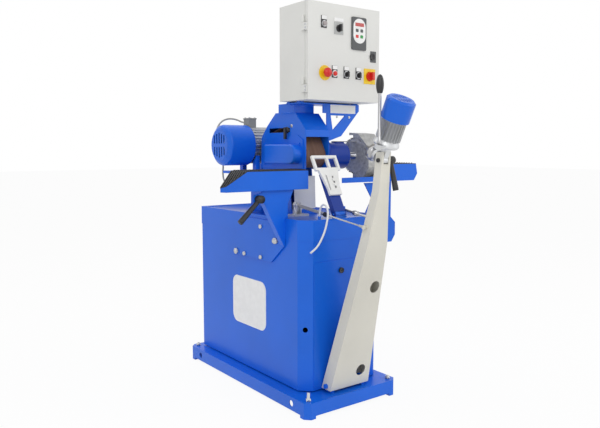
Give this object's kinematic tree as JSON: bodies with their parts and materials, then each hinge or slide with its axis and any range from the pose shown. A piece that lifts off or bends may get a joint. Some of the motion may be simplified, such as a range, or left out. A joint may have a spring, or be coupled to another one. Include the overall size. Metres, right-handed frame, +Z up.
{
  "type": "wet belt grinder and polisher for machine knives",
  "caption": "Floor-standing wet belt grinder and brush polisher for machine knives, with coolant tank, swing arm with powered blade spindle, knife rest, hand rests and control cabinet.",
  "frame": {"origin": "on the floor under the middle of the machine's overall box, leads left out", "axes": "+Z up, the operator stands on the -Y side, +X to the operator's right"},
  "size_m": [1.075, 1.2942, 1.683],
  "materials": {
    "blue": "gloss",
    "dark_blue": "gloss",
    "grey": "satin",
    "beige": "satin",
    "cabinet_grey": "satin",
    "white": "satin",
    "stainless": "brushed",
    "steel": "turned",
    "zinc": "zinc plated",
    "aluminium": "matt",
    "galvanised": "galvanised",
    "black_rubber": "matt",
    "black_plastic": "matt",
    "grey_plastic": "matt",
    "yellow_plastic": "gloss",
    "red_plastic": "gloss",
    "white_plastic": "gloss",
    "abrasive": "coated cloth",
    "bristle": "packed"
  },
  "bodies": {
    "base": {"base_frame": "blue", "frame_bolts": "zinc", "tank_shell": "blue", "drip_basin": "blue", "front_cover": "blue", "coolant_bin": "stainless", "coolant_pump": "grey", "left_bracket": "blue", "right_bracket": "blue", "belt_housing": "blue", "side_cover": "blue", "works_stand": "blue", "splash_sheet": "white", "abrasive_belt": "abrasive", "drive_belt": "black_rubber", "bearing_housing": "dark_blue", "brush_guard": "galvanised", "motor_frame": "aluminium", "motor_cowl": "blue", "terminal_box": "grey_plastic", "motor_cable": "black_plastic", "cabinet_stand": "blue", "cabinet_body": "cabinet_grey", "control_gear": "grey_plastic", "strut_bracket": "zinc", "coolant_hose": "white_plastic"},
    "cover_lock": {"cover_lock": "zinc"},
    "left_rest": {"left_rest": "blue", "left_mat": "black_rubber"},
    "right_rest": {"right_rest": "blue", "right_mat": "black_rubber"},
    "rest_clamp": {"rest_clamp": "black_plastic"},
    "tension_lever": {"tension_lever": "black_plastic"},
    "spindle": {"spindle": "steel", "contact_wheel": "black_rubber", "brush_bristles": "bristle"},
    "drum": {"drive_drum": "steel"},
    "roller": {"tension_roller": "steel"},
    "rotor": {"motor_rotor": "steel"},
    "door": {"cabinet_door": "cabinet_grey", "door_plates": "yellow_plastic"},
    "stop_button": {"stop_button": "red_plastic"},
    "start_button": {"start_button": "red_plastic"},
    "speed_selector": {"speed_selector": "black_plastic"},
    "pump_selector": {"pump_selector": "black_plastic"},
    "cam_switch": {"cam_switch_knob": "black_plastic"},
    "main_switch": {"main_switch_knob": "red_plastic"},
    "door_lock": {"door_lock": "black_plastic"},
    "arm": {"swing_arm": "beige"},
    "head": {"head_gearbox": "aluminium", "head_motor": "aluminium", "head_cowl": "blue", "pull_lever": "steel"},
    "head_clamp": {"head_clamp": "black_plastic"},
    "blade_spindle": {"blade_spindle": "steel"},
    "strut_cylinder": {"strut_cylinder": "zinc"},
    "strut_rod": {"strut_rod": "zinc"},
    "knife_rest": {"rest_channel": "dark_blue"},
    "rest_plate": {"rest_plate": "white"},
    "stop_rod": {"stop_rod": "steel"}
  },
  "joints": [
    {"name": "cover_lock_turn", "type": "hinge", "parent": "base", "child": "cover_lock", "pos_m": [-0.0415, -0.25885, 0.57], "axis": [0, -1, 0], "range_deg": [0, 90]},
    {"name": "left_rest_slide", "type": "slide", "parent": "base", "child": "left_rest", "axis": [0, -1, 0], "range_m": [-0.008, 0.08]},
    {"name": "right_rest_slide", "type": "slide", "parent": "base", "child": "right_rest", "axis": [0, -1, 0], "range_m": [-0.008, 0.08]},
    {"name": "rest_clamp_turn", "type": "hinge", "parent": "base", "child": "rest_clamp", "pos_m": [-0.3695, -0.12585, 0.877], "axis": [0, -1, 0], "range_deg": [-30, 30]},
    {"name": "tension_slide", "type": "slide", "parent": "base", "child": "tension_lever", "axis": [0, 1, 0], "range_m": [0, 0.11]},
    {"name": "rotor_spin", "type": "hinge", "parent": "base", "child": "rotor", "pos_m": [-0.0395, 0.33915, 1.096], "axis": [1, 0, 0], "continuous": true},
    {"name": "drum_spin", "type": "hinge", "parent": "base", "child": "drum", "pos_m": [-0.0395, 0.16915, 1.09], "axis": [1, 0, 0], "continuous": true},
    {"name": "spindle_spin", "type": "hinge", "parent": "base", "child": "spindle", "pos_m": [-0.0395, -0.03285, 1.048], "axis": [1, 0, 0], "continuous": true},
    {"name": "roller_spin", "type": "hinge", "parent": "base", "child": "roller", "pos_m": [-0.0395, 0.00915, 1.18], "axis": [1, 0, 0], "continuous": true},
    {"name": "door_swing", "type": "hinge", "parent": "base", "child": "door", "pos_m": [-0.1605, -0.14785, 1.483], "axis": [0, 0, -1], "range_deg": [0, 72]},
    {"name": "stop_press", "type": "slide", "parent": "door", "child": "stop_button", "axis": [0, 1, 0], "range_m": [0, 0.006], "stiffness_N_per_m": 1500},
    {"name": "start_press", "type": "slide", "parent": "door", "child": "start_button", "axis": [0, 1, 0], "range_m": [0, 0.004], "stiffness_N_per_m": 900},
    {"name": "speed_turn", "type": "hinge", "parent": "door", "child": "speed_selector", "pos_m": [0.0525, -0.17435, 1.396], "axis": [0, -1, 0], "range_deg": [-45, 45]},
    {"name": "pump_turn", "type": "hinge", "parent": "door", "child": "pump_selector", "pos_m": [0.1205, -0.17435, 1.396], "axis": [0, -1, 0], "range_deg": [-45, 45]},
    {"name": "cam_turn", "type": "hinge", "parent": "door", "child": "cam_switch", "pos_m": [0.0085, -0.17435, 1.584], "axis": [0, -1, 0], "range_deg": [-60, 60]},
    {"name": "main_turn", "type": "hinge", "parent": "door", "child": "main_switch", "pos_m": [0.1865, -0.17435, 1.396], "axis": [0, -1, 0], "range_deg": [0, 90]},
    {"name": "door_lock_turn", "type": "hinge", "parent": "door", "child": "door_lock", "pos_m": [0.2015, -0.17435, 1.482], "axis": [0, -1, 0], "range_deg": [0, 90]},
    {"name": "arm_swing", "type": "hinge", "parent": "base", "child": "arm", "pos_m": [-0.0395, -0.29085, 0.096], "axis": [-1, 0, 0], "range_deg": [-3, 11]},
    {"name": "head_tilt", "type": "hinge", "parent": "arm", "child": "head", "pos_m": [-0.0395, -0.50285, 1.036], "axis": [-1, 0, 0], "range_deg": [-5, 10]},
    {"name": "head_clamp_turn", "type": "hinge", "parent": "arm", "child": "head_clamp", "pos_m": [-0.015, -0.50285, 1.036], "axis": [1, 0, 0], "range_deg": [-40, 40]},
    {"name": "blade_spin", "type": "hinge", "parent": "head", "child": "blade_spindle", "pos_m": [-0.0395, -0.50373, 1.0378], "axis": [0, 0.8988, 0.4384], "continuous": true},
    {"name": "strut_pivot", "type": "hinge", "parent": "base", "child": "strut_cylinder", "pos_m": [-0.0995, -0.02685, 0.832], "axis": [-1, 0, 0], "range_deg": [-1, 2.5]},
    {"name": "strut_stroke", "type": "slide", "parent": "strut_cylinder", "child": "strut_rod", "axis": [0, -0.9919, -0.1274], "range_m": [-0.136, 0.038]},
    {"name": "rest_tilt", "type": "hinge", "parent": "base", "child": "knife_rest", "pos_m": [-0.0395, -0.24085, 0.806], "axis": [-1, 0, 0], "range_deg": [-6, 5]},
    {"name": "plate_slide", "type": "slide", "parent": "knife_rest", "child": "rest_plate", "axis": [0, 0.4695, 0.8829], "range_m": [-0.01, 0.01]},
    {"name": "stop_rod_slide", "type": "slide", "parent": "base", "child": "stop_rod", "axis": [0, -0.9903, -0.1386], "range_m": [0, 0.02]}
  ],
  "couplings": [
    {"joint": "drum_spin", "follows": "rotor_spin", "ratio": 1},
    {"joint": "spindle_spin", "follows": "rotor_spin", "ratio": 1.2},
    {"joint": "roller_spin", "follows": "rotor_spin", "ratio": 2.7273},
    {"joint": "strut_pivot", "follows": "arm_swing", "ratio": 0.191},
    {"joint": "strut_stroke", "follows": "arm_swing", "m_per_rad": -0.6963}
  ]
}
